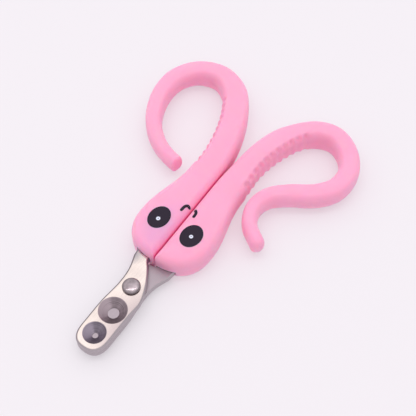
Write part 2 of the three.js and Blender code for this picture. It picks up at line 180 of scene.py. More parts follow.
FLANK_REFLECTION_PATCH = (24.0, -12.0)  # middle of the round patch of painted darker reflection on the plate's right flank
# painted reflection of the handle: the plate is greyer round this place at its neck's outer corner
NECK_REFLECTION_CORNER = (-8.4, 11.5)
FAR_SIDE = (-100.0, 0.0)  # painted dark reflection: the edges that are nearest to this place are darker
SINK_HIGHLIGHT_AXIS = (0.83, 0.56)  # painted highlight: the countersinks' turned steel is lighter along this line
BLADE_SHARP_ANGLE = 14.0
UNDER_BEVEL = ((0.5, 0.0), (0.15, 0.1), (0.0, 0.4))  # inset and rise, in edge breaks
UPPER_BEVEL = ((0.0, 0.95), (0.12, 0.72), (0.85, 0.12), (1.15, 0.0))  # inset and drop, in edge breaks
EDGE_NORMAL_Z = 0.9  # faces that lean more than this belong to a blade's edge
FINER_BREAK = 0.7  # the sliding blade's edge break, as a share of the plate's
BLADE_CLOSENESS = 0.1  # how much nearer to each other the two blades are ground than their fit gap
RIVET_HEAD_RIM = 0.35
SHADED_RIM_RANGE = (2.2, 3.3)  # distances from the rivet's axis over which painted shade darkens its dome
TAIL_RADIUS = 2.2
TAIL_HEIGHT = 0.55

# Printed face: centres and half sizes on the head's top
EYE_CENTRES = {-1: (-7.35, 27.35), 1: (7.25, 27.35)}
EYE_HALF_SIZE = (4.05, 5.05)
EYE_DOTS = {-1: (-7.25, 26.65, 0.8), 1: (7.35, 27.05, 0.76)}
MOUTH_MARKS = {
    -1: ((-2.45, 34.7), (-2.2, 36.7), (-1.4, 37.6), (-0.8, 37.4)),
    1: ((2.0, 37.5), (2.9, 36.6), (3.15, 34.8)),
}
MARK_WIDTH = 1.15
PRINT_SHOULDER = 0.55  # share of its thickness that the ink keeps at its last ring but one
PRINT_SHARP_ANGLE = 50.0
PRINT_STAND_OFF = 2.0  # height above the handles from which the print is pressed straight down

# Camera, in the modelling frame
CAMERA_PLACE = (103.98, -103.65, 280.95)
CAMERA_TARGET = (1.16, 47.07, 0.0)
CAMERA_LENS = 74.4
CAMERA_SENSOR = 36.0

# Studio light: brightness at the horizon, what it gains overhead, and what it gains towards the key side
HORIZON_LIGHT = 0.52
OVERHEAD_LIGHT = 0.63
KEY_GLOW = 0.27
STRIP_PLACE = (-70.0, 82.0, 900.0)
STRIP_SIZE = (1000.0, 50.0)
STRIP_POWER = 1.0
STUDIO_TINT = (1.0, 0.985, 1.0, 1.0)
FLOOR_HALF_SIZE = 1500.0
KEY_DIRECTION = (-0.5, 0.55, 0.67)


# Numbers and curves


def smoothstep(value, low, high):
    share = np.clip((np.asarray(value, dtype=float) - low) / (high - low), 0, 1)
    return share * share * (3 - 2 * share)


def lerp(a, b, share):
    return a + (b - a) * share


def three_stages(share, start, middle, end, stages):
    first = smoothstep(share, stages[0], stages[1])
    second = smoothstep(share, stages[2], stages[3])
    return lerp(lerp(start, middle, first), end, second)


def catmull_rom(points, steps):
    """Points of a centripetal Catmull-Rom curve through plain points, steps to each span."""
    points = np.asarray(points, dtype=float)
    first = 2 * points[0] - points[1]
    last = 2 * points[-1] - points[-2]
    padded = np.vstack([first, points, last])
    made = []
    for i in range(len(points) - 1):
        a, b, c, d = padded[i : i + 4]
        before, here, after = (math.sqrt(np.linalg.norm(q - p)) for p, q in ((a, b), (b, c), (c, d)))
        start = ((b - a) / before - (c - a) / (before + here) + (c - b) / here) * here
        end = ((c - b) / here - (d - b) / (here + after) + (d - c) / after) * here
        square, cube = 3 * (c - b) - 2 * start - end, 2 * (b - c) + start + end
        made += [b + start * t + square * t**2 + cube * t**3 for t in np.arange(steps) / steps]
    made.append(points[-1])
    return np.array(made)


def resample(points, shares):
    """Points and unit headings at shares of a polyline's length."""
    steps = np.linalg.norm(np.diff(points, axis=0), axis=1)
    along = np.concatenate([[0], np.cumsum(steps)])
    along /= along[-1]
    places = np.column_stack([np.interp(shares, along, points[:, k]) for k in range(2)])
    slopes = np.gradient(points, along, axis=0)
    heading = np.column_stack([np.interp(shares, along, slopes[:, k]) for k in range(2)])
    return places, heading / np.linalg.norm(heading, axis=1)[:, None]


# Meshes


def to_metres(points):
    points = np.asarray(points, dtype=float)
    return (points + np.array([AXIS.x, AXIS.y, 0.0])) * MM


def add_mesh(name, points, faces, sharp_angle=35.0):
    """A new object from millimetre points, with doubles merged and faces turned outwards."""
    mesh = bpy.data.meshes.new(name)
    mesh.from_pydata([tuple(p) for p in to_metres(points)], [], faces)
    work = bmesh.new()
    work.from_mesh(mesh)
    bmesh.ops.remove_doubles(work, verts=work.verts, dist=2e-6)
    bmesh.ops.dissolve_degenerate(work, edges=work.edges, dist=1e-7)
    bmesh.ops.recalc_face_normals(work, faces=work.faces)
    work.to_mesh(mesh)
    work.free()
    piece = bpy.data.objects.new(name, mesh)
    bpy.context.scene.collection.objects.link(piece)
    shade(piece, sharp_angle)
    return piece


def shade(piece, sharp_angle=35.0):
    piece.data.shade_smooth()
    piece.data.set_sharp_from_angle(angle=math.radians(sharp_angle))


def cut(piece, cutters, sharp_angle=35.0):
    """Takes the cutters out of a piece, removes them and keeps the result as its mesh."""
    for cutter in cutters:
        modifier = piece.modifiers.new("cut", "BOOLEAN")
        modifier.operation = "DIFFERENCE"
        modifier.solver = "EXACT"
        modifier.object = cutter
    bpy.context.view_layer.update()
    depsgraph = bpy.context.evaluated_depsgraph_get()
    result = bpy.data.meshes.new_from_object(piece.evaluated_get(depsgraph))
    piece.modifiers.clear()
    old = piece.data
    piece.data = result
    result.name = piece.name
    bpy.data.meshes.remove(old)
    for cutter in cutters:
        spent = cutter.data
        bpy.data.objects.remove(cutter)
        bpy.data.meshes.remove(spent)
    shade(piece, sharp_angle)
    if not piece.data.polygons:
        raise RuntimeError(f"{piece.name}: nothing is left after the cut")
    return piece


def ring_faces(rings, size):
    """Faces between neighbouring rings of points, where each ring closes on itself."""
    faces = []
    for low in range(0, (rings - 1) * size, size):
        for i in range(size):
            j = (i + 1) % size
            faces.append((low + i, low + j, low + size + j, low + size + i))
    return faces


def prism(name, outline, bottom, top):
    """A straight-sided body from a plain outline."""
    count = len(outline)
    points = [(x, y, bottom) for x, y in outline] + [(x, y, top) for x, y in outline]
    ends = [tuple(range(count))[::-1], tuple(range(count, 2 * count))]
    return add_mesh(name, points, ends + ring_faces(2, count))


def turned(name, profile, x=0.0, y=0.0, segments=96, closed=False):
    """A body turned about a vertical axis from radius and z. closed joins its last point to its first."""
    count = len(profile)
    points = []
    for k in range(segments):
        turn = 2 * math.pi * k / segments
        points += [(x + r * math.cos(turn), y + r * math.sin(turn), z) for r, z in profile]
    faces = []
    for k in range(segments):
        here, after = k * count, (k + 1) % segments * count
        for i in range(count if closed else count - 1):
            j = (i + 1) % count
            faces.append((here + i, after + i, after + j, here + j))
    return add_mesh(name, points, faces)


def circle(x, y, radius, segments=64):
    turns = np.linspace(0, 2 * math.pi, segments, endpoint=False)
    return [(x + radius * math.cos(t), y + radius * math.sin(t)) for t in turns]


def coat(piece, material):
    piece.data.materials.clear()
    piece.data.materials.append(material)


def ride(piece, body, slot, *nodes):
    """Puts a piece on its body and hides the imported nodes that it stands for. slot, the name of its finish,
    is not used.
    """
    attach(piece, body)
    if nodes:
        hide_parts(*nodes)


# Shaders


NOISE = "ShaderNodeTexNoise"


class Socket:
    """A node's output in one material. Arithmetic on it adds Math nodes."""

    def __init__(self, shader, link):
        self.shader = shader
        self.link = link

    def maths(self, operation, *values):
        return self.shader.node("ShaderNodeMath", {"operation": operation}, *values)

    def __add__(self, other):
        return self.maths("ADD", self, other)

    __radd__ = __add__

    def __mul__(self, other):
        return self.maths("MULTIPLY", self, other)

    __rmul__ = __mul__

    def __sub__(self, other):
        return self.maths("SUBTRACT", self, other)

    def __rsub__(self, other):
        return self.maths("SUBTRACT", other, self)

    def __truediv__(self, other):
        return self.maths("DIVIDE", self, other)

    def __pow__(self, other):
        return self.maths("POWER", self, other)

    def __lt__(self, other):
        return self.maths("LESS_THAN", self, other)

    def __abs__(self):
        return self.maths("ABSOLUTE", self)

    def clamped(self):
        return self.shader.node("ShaderNodeClamp", {}, self)


class Nodes:
    """A node tree, to which node() adds nodes."""

    def __init__(self, tree):
        self.nodes = tree.nodes
        self.links = tree.links

    def node(self, kind, settings, *values, output=0, **named):
        """Adds a node. values fill its sockets in order, named ones by name, and one output comes back."""
        made = self.nodes.new(kind)
        for setting, value in settings.items():
            setattr(made, setting, value)
        places = list(enumerate(values)) + [(key.replace("_", " "), value) for key, value in named.items()]
        for place, value in places:
            self.feed(made.inputs[place], value)
        return Socket(self, made.outputs[output])

    def feed(self, socket, value):
        if isinstance(value, Socket):
            self.links.new(value.link, socket)
        elif value is not None:
            socket.default_value = value

    def position(self):
        return self.node("ShaderNodeTexCoord", {}, output="Object")

    def axes(self, vector):
        split = self.nodes.new("ShaderNodeSeparateXYZ")
        self.feed(split.inputs[0], vector)
        return [Socket(self, split.outputs[k]) for k in range(3)]

    def noise(self, vector, scale, detail=2.0, roughness=0.5):
        return self.node(NOISE, {}, Vector=vector, Scale=scale, Detail=detail, Roughness=roughness)

    def mixed(self, factor, first, second):
        mix = self.nodes.new("ShaderNodeMix")
        mix.data_type = "RGBA"
        self.feed(mix.inputs[0], factor)
        self.feed(mix.inputs[6], first)
        self.feed(mix.inputs[7], second)
        return Socket(self, mix.outputs[2])

    def ranged(self, value, low, high, to_low=0.0, to_high=1.0):
        return self.node("ShaderNodeMapRange", {}, value, low, high, to_low, to_high)


class Shader(Nodes):
    """A new material with one Principled shader."""

    def __init__(self, name, **constants):
        self.material = bpy.data.materials.new(name)
        self.material.use_nodes = True
        super().__init__(self.material.node_tree)
        self.surface = self.nodes["Principled BSDF"]
        for socket, value in constants.items():
            self.surface.inputs[socket.replace("_", " ")].default_value = value

    def set(self, socket, value):
        self.feed(self.surface.inputs[socket], value)

    def bump(self, height, distance):
        self.set("Normal", self.node("ShaderNodeBump", {}, Height=height, Distance=distance, Strength=1.0))


def rgb(colour):
    return (*colour, 1.0)


def shaded(colour, factor):
    return (*(channel * factor for channel in colour), 1.0)


def plastic_material(colours):
    """Soft-touch moulded plastic: faint mottling, a fine spark-eroded grain, a lilac cast at the chin and
    painted shade along the parting of the two halves.
    """
    shader = Shader(
        "handle_plastic",
        Roughness=0.52,
        Specular_IOR_Level=0.16,
        Subsurface_Weight=0.75,
        Subsurface_Radius=(1.0, 0.25, 0.4),
        Subsurface_Scale=0.002,
    )
    place = shader.position()
    cloud = shader.noise(place, 45.0, 3.0)
    grain = shader.noise(place, 5200.0, 2.0, 0.6)
    pores = shader.noise(place, 900.0, 2.0)
    body = shader.mixed(
        shader.ranged(cloud, 0.3, 0.7), rgb(colours.plastic), shaded(colours.plastic, 0.965)
    )
    east, north, level = shader.axes(place)
    x, y, _ = to_metres([LILAC_CENTRE])[0]
    from_seam = east - (AXIS.x + SEAM_SHIFT) * MM
    swinging = from_seam < 0.0
    across, along = (east - x) / (LILAC_REACH[0] * MM), (north - y) / (LILAC_REACH[1] * MM)
    cast = shader.ranged((across * across + along * along) ** 0.5, 0.35, 1.0, 0.75, 0.0) * swinging
    tinted = shader.mixed(cast, body, rgb(colours.cast))
    from_seam = abs(from_seam)
    rounded = shader.ranged(level, CREASE_LEVELS[0] * MM, CREASE_LEVELS[1] * MM)
    # painted shade: a deeper pink in the crack where the two halves meet, on the rounded tops only
    painted_crease_shade = shader.ranged(from_seam, CREASE_EDGE[0] * MM, CREASE_EDGE[1] * MM, 0.8, 0.0) * rounded
    # painted shade: a faint wider pink along the parting, three times as strong on the swinging half, whose
    # shoulder there faces away from the light
    broad = shader.ranged(from_seam, 0.0, PAINTED_SHADE_REACH * MM, 0.07, 0.0) * (1.0 + 2.0 * swinging)
    tinted = shader.mixed((painted_crease_shade + broad).clamped(), tinted, rgb(colours.crease_shade))
    speckled = shader.mixed((grain - 0.5).clamped() * 0.1, tinted, shaded(colours.plastic, 0.8))
    shader.set("Base Color", speckled)
    shader.set("Roughness", shader.ranged(cloud, 0.25, 0.75, 0.47, 0.56) + (grain - 0.5) * 0.08)
    shader.bump(grain * 0.6 + pores * 0.4, 0.000016)
    return shader.material


def print_material(name, colour, roughness):
    """Pad-printed ink with a slightly uneven film."""
    shader = Shader(name, Roughness=roughness, Specular_IOR_Level=0.2)
    place = shader.position()
    film = shader.noise(place, 1400.0, 3.0, 0.6)
    shader.set("Base Color", shader.mixed(film, shaded(colour, 0.9), shaded(colour, 1.08)))
    shader.set("Roughness", shader.ranged(film, 0.2, 0.8, roughness - 0.05, roughness + 0.08))
    shader.bump(film, 0.000006)
    return shader.material


def brushed_material(name, colour, roughness, stretch, scratch_depth, dark=0.86, painted_reflections=()):
    """Steel finished with a fine grain: stretch squeezes the grain's noise across and along each axis.

    Each painted tint is a reflection painted on the steel: a colour, the place that it's centred on and the
    distances between which it fades.
    """
    shader = Shader(name, Metallic=1.0, Roughness=roughness)
    place = shader.position()
    drawn = shader.node("ShaderNodeVectorMath", {"operation": "MULTIPLY"}, place, stretch)
    grain = shader.noise(drawn, 1.0, 3.0, 0.65)
    cloud = shader.noise(place, 160.0, 3.0, 0.55)
    tone = shader.ranged(grain * 0.5 + cloud * 0.5, 0.3, 0.7)
    body = shader.mixed(tone, shaded(colour, dark), rgb(colour))
    east, north, _ = shader.axes(place)
    for tint, centre, full, gone, strength in painted_reflections:
        x, y, _ = to_metres([(*centre, 0)])[0]
        away = ((east - x) * (east - x) + (north - y) * (north - y)) ** 0.5
        body = shader.mixed(shader.ranged(away, full * MM, gone * MM, strength, 0.0), body, rgb(tint))
    shader.set("Base Color", body)
    shader.set("Roughness", roughness + (grain - 0.5) * 0.12 + (cloud - 0.5) * 0.1)
    shader.bump(grain, scratch_depth)
    return shader.material


def sunk_material(name, colour, centre, roughness):
    """Steel turned by a countersink: fine rings about the hole's axis, with painted highlights and painted
    shade in its colour.
    """
    shader = Shader(name, Metallic=1.0, Roughness=roughness)
    place = shader.position()
    east, north, _ = shader.axes(place)
    across = east - centre[0]
    along = north - centre[1]
    radius = (across * across + along * along) ** 0.5
    heading = shader.node("ShaderNodeCombineXYZ", {}, across / radius, along / radius, 0.0)
    fans = shader.noise(heading, 1.6, 1.0)
    sweep = (across * SINK_HIGHLIGHT_AXIS[0] + along * SINK_HIGHLIGHT_AXIS[1]) / radius
    line = {"noise_dimensions": "1D"}
    rings, broad = (shader.node(NOISE, line, W=radius, Scale=scale, Detail=1.0) for scale in (3800.0, 1500.0))
    turning = rings * 0.3 + broad * 0.2 + fans * 0.3
    # the tone is partly the turning rings and partly painted light: radial fans of painted reflection, a
    # painted highlight along the streak line and painted shade towards +X
    tone = shader.ranged(turning + sweep * sweep * 0.22 - across / radius * 0.16, 0.36, 0.64)
    shader.set("Base Color", shader.mixed(tone, shaded(colour, 0.62), shaded(colour, 1.6)))
    shader.set("Roughness", roughness + (rings - 0.5) * 0.25)
    shader.bump(rings, 0.00005)
    return shader.material


def dome_material(colour):
    """Hammered and tumbled rivet steel: shallow dents, patches of painted reflection and painted shade at the
    rim.
    """
    shader = Shader("rivet_steel", Metallic=1.0, Roughness=0.2)
    place = shader.position()
    dents = shader.noise(place, 900.0, 3.0, 0.6)
    haze_and_reflection = shader.noise(place, 380.0, 3.0, 0.6)
    east, north, _ = shader.axes(place)
    across, along = east - AXIS.x * MM, north - AXIS.y * MM
    away = (across * across + along * along) ** 0.5
    # painted shade: the dome darkens towards its rim
    rim = shader.ranged(away, SHADED_RIM_RANGE[0] * MM, SHADED_RIM_RANGE[1] * MM)
    # random patches lighter and darker than the steel: painted reflection of the surroundings
    body = shader.mixed(shader.ranged(haze_and_reflection, 0.3, 0.7), shaded(colour, 0.6), shaded(colour, 1.1))
    shader.set("Base Color", shader.mixed(rim, body, shaded(colour, 0.5)))
    shader.set("Roughness", shader.ranged(haze_and_reflection, 0.3, 0.7, 0.1, 0.24))
    shader.bump(dents, 0.00004)
    return shader.material


def table_material(colour, glow):
    """Pale matt acrylic light table, lit softly from below."""
    shader = Shader(
        "light_table", Specular_IOR_Level=0.15, Emission_Color=rgb(glow), Emission_Strength=1.0
    )
    fibres = shader.noise(shader.position(), 700.0, 3.0)
    shader.set("Base Color", shader.mixed(fibres, shaded(colour, 0.995), rgb(colour)))
    shader.set("Roughness", shader.ranged(fibres, 0.2, 0.8, 0.8, 0.9))
    return shader.material


# Handles


def arm_width(arm, share):
    start = NECK_HALF_WIDTH - SEAM
    neck = lerp(start, arm["neck_width"], smoothstep(share, 0, 0.12))
    return three_stages(share, neck, arm["loop_width"], arm["tip_width"], arm["narrowing"])


def rib_phase(share):
    """How far along the ribs a place on the arm is, counted in ribs, and 0 outside them."""
    phase = (share - RIB_SPAN[0]) / (RIB_SPAN[1] - RIB_SPAN[0]) * RIB_COUNT
    return np.where((phase > 0) & (phase < RIB_COUNT), phase, 0.0)


def head_rows():
    """Edges of the head on the +X side from the chin to the neck, as rows of seam point and outer point."""
    seam_start = HEAD_FRONT_Y + CHIN_RADIUS
    chin = np.array([SEAM + CHIN_RADIUS, seam_start])
    rows = []
    for share in np.linspace(1, 0, CHIN_STEPS + 1)[:-1]:
        low, high = math.radians(270 - 45 * share), math.radians(180 + 45 * share)
        rows.append(
            [chin + CHIN_RADIUS * np.array([math.cos(t), math.sin(t)]) for t in (high, low)]
        )
    reach = HEAD_HALF_WIDTH - SEAM
    last_turn = math.acos((CHIN_RADIUS / reach) ** (HEAD_FRONT_POWER / 2))
    for turn in np.linspace(last_turn, 0, HEAD_FRONT_ROWS):
        outer = (
            SEAM + reach * math.cos(turn) ** (2 / HEAD_FRONT_POWER),
            HEAD_WIDEST_Y - (HEAD_WIDEST_Y - HEAD_FRONT_Y) * math.sin(turn) ** (2 / HEAD_FRONT_POWER),
        )
        rows.append([(SEAM, lerp(HEAD_WIDEST_Y, seam_start, turn / last_turn)), outer])
    for share in np.linspace(0, 1, HEAD_BACK_ROWS)[1:-1]:
        y = lerp(HEAD_WIDEST_Y, NECK_Y, share)
        swell = 0.5 + 0.5 * math.cos(math.pi * share)
        rows.append([(SEAM, y), (lerp(NECK_HALF_WIDTH, HEAD_HALF_WIDTH, swell), y)])
    return np.array(rows, dtype=float)


def handle_rows(arm, sizes):
    """Everything that a handle's cross-sections need, row by row from the chin to the tail's tip.

    Each row has the place and inward direction of its two edges, the edges' roundings, the thickness and
    the depth of the flutes on the outer edge.
    """
    head = head_rows()
    neck_x = (NECK_HALF_WIDTH + SEAM) / 2
    knots = [(neck_x + out * arm["sweep"], NECK_Y + along * ARM_REACH) for out, along in arm["path"]]
    path = catmull_rom(knots, CURVE_STEPS)
    ribbed = np.linspace(*RIB_SPAN, RIB_COUNT * ROWS_PER_RIB + 1)
    shares = np.unique(np.concatenate([np.linspace(0, 1, ARM_ROWS), ribbed]).round(6))
    centre, heading = resample(path, shares)
    out = np.column_stack([heading[:, 1], -heading[:, 0]])
    half = arm_width(arm, shares) / 2
    thickness = three_stages(shares, HANDLE_THICKNESS, LOOP_THICKNESS, TIP_THICKNESS, THINNING)

    # Head: inward directions come from the outer edge's own slope
    outer = np.vstack([head[:, 1], (centre + out * half[:, None])[:3]])
    slope = np.gradient(outer, axis=0)[: len(head)]
    outer_in = np.column_stack([-slope[:, 1], slope[:, 0]])
    outer_in /= np.linalg.norm(outer_in, axis=1)[:, None]
    seam_in = np.tile([1.0, 0.0], (len(head), 1))
    chin = np.array([SEAM + CHIN_RADIUS, HEAD_FRONT_Y + CHIN_RADIUS])
    for i in range(CHIN_STEPS):
        for side, inward in ((0, seam_in), (1, outer_in)):
            inward[i] = (chin - head[i, side]) / CHIN_RADIUS

    # Tip: the edges close round half a superellipse
    end, ahead = centre[-1], heading[-1]
    aside = np.array([ahead[1], -ahead[0]])
    turns = np.linspace(math.pi / 2, 0, TIP_ROWS)[1:]
    reach = arm["tip_length"] * np.cos(turns) ** (2 / arm["tip_power"])
    width = half[-1] * np.sin(turns) ** (2 / arm["tip_power"])
    tip = [end + reach[:, None] * ahead + s * width[:, None] * aside for s in (-1, 1)]

    near = np.vstack([head[:, 0], centre - out * half[:, None], tip[0]])
    away = np.vstack([head[:, 1], centre + out * half[:, None], tip[1]])
    near_in = np.vstack([seam_in, out, (end - tip[0]) / half[-1]])
    away_in = np.vstack([outer_in, -out, (end - tip[1]) / half[-1]])
    thick = np.concatenate([
        np.full(len(head), HANDLE_THICKNESS), thickness, np.full(len(turns), TIP_THICKNESS),
    ])
    arm_reach = lerp(sizes.shoulder_reach, sizes.arm_shoulder_reach, smoothstep(shares, 0, 0.1))
    shoulder = np.concatenate([
        np.minimum(arm_reach, 2 * half * TAIL_ROUNDING_SHARE),
        np.full(len(turns), 2 * half[-1] * TAIL_ROUNDING_SHARE),
    ])
    rounding = np.concatenate([np.full(len(head), sizes.shoulder_reach), shoulder])
    flute = np.concatenate([
        np.zeros(len(head)),
        sizes.flute_depth * flute_profile(rib_phase(shares)),
        np.zeros(len(turns)),
    ])
    return near, away, near_in, away_in, rounding, thick, flute, len(head)


def flute_profile(phase):
    """Depth of the hollows between the ribs: round hollows that meet in narrow crests."""
    wave = 0.5 - 0.5 * np.cos(2 * math.pi * phase)
    return wave**RIB_CREST_POWER


def flute_reach(turn):
    """Share of a flute's depth at an angle up the shoulder: deepest half way up, gone on the flat top."""
    rising = 0.3 + 0.7 * smoothstep(turn, 0, math.radians(30))
    return rising * (1 - smoothstep(turn, math.radians(42), math.radians(82)))


def ring_points(edge, inward, inset, level, head_count, checked):
    """One ring of an edge. On the head it's mitred where the seam's rounding meets the front's.

    checked is the axis along which the edge leaves the mitre: 1 on the seam side and 0 on the outer side.
    """
    places = edge + inward * inset[:, None]
    mitre = inset[:head_count, None] + np.array([SEAM, HEAD_FRONT_Y])
    beyond = places[:head_count, checked] > mitre[:, checked] + MITRE_CLEARANCE
    places[:head_count] = np.where(beyond[:, None], np.maximum(places[:head_count], mitre), mitre)
    rounded = inset[:head_count] < CHIN_RADIUS
    arc = np.arange(head_count) < CHIN_STEPS
    places[:head_count][rounded & arc] = (edge + inward * inset[:, None])[:head_count][rounded & arc]
    return np.column_stack([places, level])


def handle_mesh(name, arm, sizes):
    """One handle: cross-sections joined from the chin to the tip."""
    near, away, near_in, away_in, rounding, thick, flute, head_count = handle_rows(arm, sizes)
    half = thick / 2
    drop = np.minimum(sizes.shoulder_drop, MOST_OF_HALF_THICKNESS * half)
    level_width = np.linalg.norm(away - near, axis=1) - 2 * rounding
    crown = sizes.crown * smoothstep(level_width, 0, sizes.shoulder_reach)
    flat = 0 * rounding
    upper = []
    for edge, inward, depth, checked in ((near, near_in, flat, 1), (away, away_in, flute, 0)):
        side_sink = depth * flute_reach(0.0)
        rings = [
            ring_points(edge, inward, side_sink + sizes.parting_depth, flat, head_count, checked),
            ring_points(edge, inward, side_sink, flat + sizes.parting_width / 2, head_count, checked),
        ]
        for turn in np.linspace(0, math.pi / 2, SHOULDER_STEPS + 1):
            sink = depth * flute_reach(turn)
            inset = rounding * (1 - math.cos(turn)) + sink * math.cos(turn)
            level = half - crown - drop * (1 - math.sin(turn)) - sink * math.sin(turn)
            rings.append(ring_points(edge, inward, inset, level, head_count, checked))
        upper.append(rings)
    seam_side, outer_side = upper
    middle = []
    for share in np.linspace(0, 1, TOP_STEPS + 1)[1:-1]:
        row = lerp(seam_side[-1], outer_side[-1], share)
        row[:, 2] += crown * math.sin(math.pi * share)
        middle.append(row)
    over = seam_side + middle + outer_side[::-1]
    under = [row * [1, 1, -1] for row in over[-2:0:-1]]
    loops = np.stack(over + under, axis=1)
    count, size = loops.shape[:2]
    points = loops.reshape(-1, 3) * [arm["side"], 1, 1] + [0, 0, MIDDLE_Z]
    points[:, 0] += SEAM_SHIFT * (1 - smoothstep(np.abs(points[:, 0]), 0, SEAM_SHIFT_REACH))
    return add_mesh(name, points, ring_faces(count, size), HANDLE_SHARP_ANGLE)


def tang_line(side):
    from_seam, y = TANG_ROOTS[side]
    root = np.array([side * from_seam, y])
    end = np.array([side * (from_seam + TANG_LEAN), y + TANG_LENGTH])
    heading = (end - root) / np.linalg.norm(end - root)
    return root, end, heading


def tang_hole(side):
    root, end, _ = tang_line(side)
    return lerp(root, end, TANG_HOLE_SHARE)


def tang_pocket(side, bottom, top):
    """The pocket that a tang fills, with the post through the tang's hole left standing."""
    root, end, heading = tang_line(side)
    aside = np.array([heading[1], -heading[0]])
    half = TANG_WIDTHS[side] / 2 + FIT_GAP
    back = root - heading * POCKET_OVERRUN
    outline = [tuple(back - aside * half), tuple(back + aside * half)]
    for turn in np.linspace(-math.pi / 2, math.pi / 2, 25):
        outline.append(tuple(end + half * (heading * math.cos(turn) - aside * math.sin(turn))))
    pocket = prism("pocket", outline, bottom - FIT_GAP, top + FIT_GAP)
    hole = tang_hole(side)
    below, above = bottom - CUT_THROUGH, top + CUT_THROUGH
    return cut(pocket, [prism("post", circle(*hole, TANG_HOLE_RADIUS - FIT_GAP, 48), below, above)])


# Blades


def spaced(knots, steps):
    """Evenly spaced points on the curve through the knots."""
    return resample(catmull_rom(knots, CURVE_STEPS), np.linspace(0, 1, steps))[0]


def blade_outline(side):
    """Edge of a blade from the tip's full width up to its tang and back, going round the tip last."""
    left, right = BLADE_MIDDLE_X - BLADE_HALF_WIDTH, BLADE_MIDDLE_X + BLADE_HALF_WIDTH
    near, far = (left, right) if side < 0 else (right, left)
    root, end, heading = tang_line(side)
    aside = np.array([heading[1], -heading[0]]) * side * TANG_WIDTHS[side] / 2
    full_width_y = BLADE_TIP_Y + TIP_RISE
    waist = [(near - side * inwards, y) for inwards, y in BLADE_WAIST]
    near_knots = [(near, full_width_y), *waist, tuple(root + aside)]
    neck = [(-side * past, y) for past, y in NECKS[side]]
    flank = [(far - side * outwards, y) for outwards, y in BLADE_FLANK]
    far_knots = [tuple(root - aside), *neck, *flank, (far, full_width_y)]
    start = math.atan2(heading[1], heading[0])
    turns = start - side * math.pi / 2 + side * math.pi * np.linspace(0, 1, 25)
    tang_end = end + TANG_WIDTHS[side] / 2 * np.column_stack([np.cos(turns), np.sin(turns)])
    tip_turns = np.linspace(0, math.pi, 64)[1:-1]
    across = np.sign(np.cos(tip_turns)) * np.abs(np.cos(tip_turns)) ** (2 / TIP_POWER)
    tip = np.column_stack([
        lerp(near, far, 0.5 + 0.5 * across),
        full_width_y - TIP_RISE * np.sin(tip_turns) ** (2 / TIP_POWER),
    ])
    outline = np.vstack([spaced(near_knots, 56)[:-1], tang_end, spaced(far_knots, 70)[1:], tip])
    return outline[::-1] if side < 0 else outline


def blade_body(name, side, bottom, top, edge_break):
    """A flat blade with broken edges, which has its tang's hole and the rivet's hole."""
    outline = blade_outline(side)
    slope = np.roll(outline, -1, axis=0) - np.roll(outline, 1, axis=0)
    inward = np.column_stack([-slope[:, 1], slope[:, 0]])
    inward /= np.linalg.norm(inward, axis=1)[:, None]
    rings = [(inset * edge_break, bottom + rise * edge_break) for inset, rise in UNDER_BEVEL]
    rings += [(inset * edge_break, top - drop * edge_break) for inset, drop in UPPER_BEVEL]
    count = len(outline)
    points = np.vstack([
        np.column_stack([outline + inward * inset, np.full(count, z)]) for inset, z in rings
    ])
    ends = [tuple(range(count))[::-1], tuple(range((len(rings) - 1) * count, len(rings) * count))]
    body = add_mesh(name, points, ends + ring_faces(len(rings), count), BLADE_SHARP_ANGLE)
    below, above = bottom - CUT_THROUGH, top + CUT_THROUGH
    return cut(body, [
        prism("tang_hole", circle(*tang_hole(side), TANG_HOLE_RADIUS), below, above),
        prism("shank_hole", circle(0, 0, SHANK_RADIUS + FIT_GAP), below, above),
    ], BLADE_SHARP_ANGLE)


def countersink(y, radius, rim):
    """The cutter of one claw hole: straight at the bottom, then a cone that opens past the plate's top."""
    bottom, top = UPPER_LOW.z - BLADE_CLOSENESS, UPPER_HIGH.z
    slope = (rim - radius) / (top - bottom - HOLE_LAND)
    profile = [
        (0, bottom - CUT_THROUGH), (radius, bottom - CUT_THROUGH), (radius, bottom + HOLE_LAND),
        (rim + slope * CUT_THROUGH / 2, top + CUT_THROUGH / 2), (0, top + CUT_THROUGH / 2),
    ]
    return turned("countersink", profile, CLAW_HOLE_X, y, 144)


def edge_slot(blade, material):
    """Gives a blade's sides and bevels the material of a plainly ground edge."""
    blade.data.materials.append(material)
    for face in blade.data.polygons:
        if abs(face.normal.z) < EDGE_NORMAL_Z:
            face.material_index = len(blade.data.materials) - 1


def sink_slots(plate, sunk_materials):
    """Gives each countersink's own faces its material."""
    first = len(plate.data.materials)
    for material in sunk_materials:
        plate.data.materials.append(material)
    for face in plate.data.polygons:
        middle = face.center / MM - Vector((AXIS.x, AXIS.y, 0))
        for number, (y, _, rim) in enumerate(CLAW_HOLES):
            away = math.hypot(middle.x - CLAW_HOLE_X, middle.y - y)
            level = min(middle.z - UPPER_LOW.z, UPPER_HIGH.z - middle.z)
            if away < rim + SINK_MARGIN and level > SINK_LEVEL_MARGIN:
                face.material_index = first + number


# Printed face


def draped(name, surface, rings, lift, hollow=False):
    """A thin print on a handle. rings run from the middle outwards on the head's top plane."""
    down = Vector((0, 0, -1))
    origin = Vector((AXIS.x, AXIS.y, 0))
    top = HANDLE_HIGH.z
    points = []
    for number, ring in enumerate(rings):
        for x, y in ring:
            start = (Vector((x, y, top)) - down * PRINT_STAND_OFF + origin) * MM
            hit, normal, _, _ = surface.ray_cast(start, down)
            if hit is None:
                raise RuntimeError(f"{name}: nothing below ({x:.2f}, {y:.2f})")
            rise = lift
            if number == len(rings) - 1 or (hollow and number == 0):
                rise = -lift
            elif number == len(rings) - 2:
                rise = PRINT_SHOULDER * lift
            points.append((hit + normal * rise * MM) / MM - origin)
    size = len(rings[0])
    middle = [] if hollow else [tuple(range(size))]
    return add_mesh(name, points, middle + ring_faces(len(rings), size), PRINT_SHARP_ANGLE)


